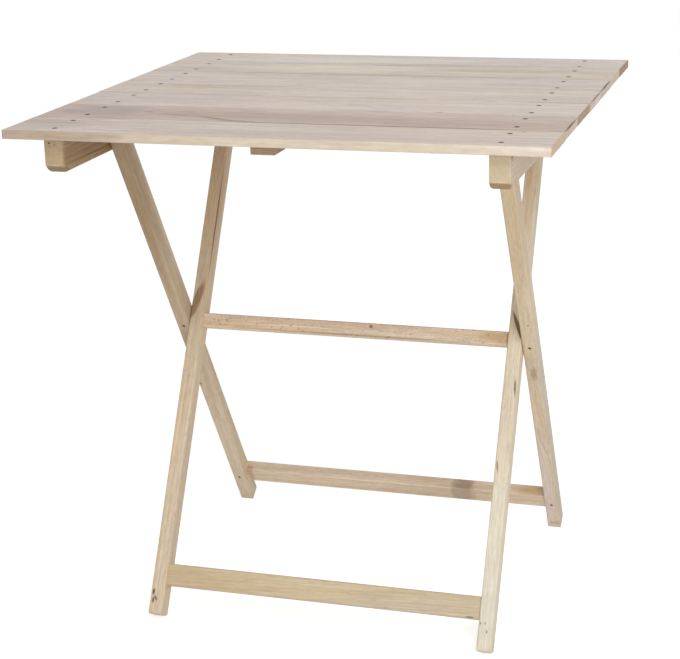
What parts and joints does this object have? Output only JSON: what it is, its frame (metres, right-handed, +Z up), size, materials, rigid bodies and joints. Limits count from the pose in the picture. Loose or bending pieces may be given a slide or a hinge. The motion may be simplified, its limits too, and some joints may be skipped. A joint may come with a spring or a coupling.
{
  "type": "folding table",
  "caption": "Free-standing square folding table: planked top on side rails, carried by crossed leg frames that close like scissors about a pivot bar.",
  "frame": {"origin": "on the floor, under the middle of the top's box", "axes": "+X to the right along the planks, +Y from the front edge to the back edge, +Z up"},
  "size_m": [0.7, 0.7, 0.74],
  "materials": {
    "planks": "planed and sanded raw beech",
    "frame": "planed and sanded raw beech",
    "nails": "dull wire nail",
    "pins": "turned mild steel"
  },
  "bodies": {
    "outer_frame": {"outer_leg_left": "frame", "outer_leg_right": "frame", "rear_foot_bar": "frame", "rear_bar_nails": "nails", "pivot_retaining_nails": "nails"},
    "inner_frame": {"inner_leg_left": "frame", "inner_leg_right": "frame", "front_foot_bar": "frame", "pivot_bar": "frame", "top_bar": "frame", "inner_frame_nails": "nails"},
    "tabletop": {"plank_1": "planks", "plank_2": "planks", "plank_3": "planks", "plank_4": "planks", "plank_5": "planks", "plank_6": "planks", "plank_7": "planks", "rail_left": "frame", "rail_right": "frame", "centre_batten": "frame", "stop_block_left": "frame", "stop_block_right": "frame", "plank_nails_left": "nails", "plank_nails_right": "nails", "batten_nails": "nails", "stop_block_nails": "nails", "hinge_pin_left": "pins", "hinge_pin_right": "pins"}
  },
  "joints": [
    {"name": "top_swing", "type": "hinge", "parent": "outer_frame", "child": "tabletop", "pos_m": [0, -0.1849, 0.7055], "axis": [1, 0, 0], "range_deg": [0, 122.8]},
    {"name": "leg_fold", "type": "hinge", "parent": "outer_frame", "child": "inner_frame", "pos_m": [0, 0.021, 0.386], "axis": [1, 0, 0], "range_deg": [0, 59]}
  ],
  "couplings": [
    {"joint": "leg_fold", "follows": "top_swing", "ratio": 0.48}
  ]
}
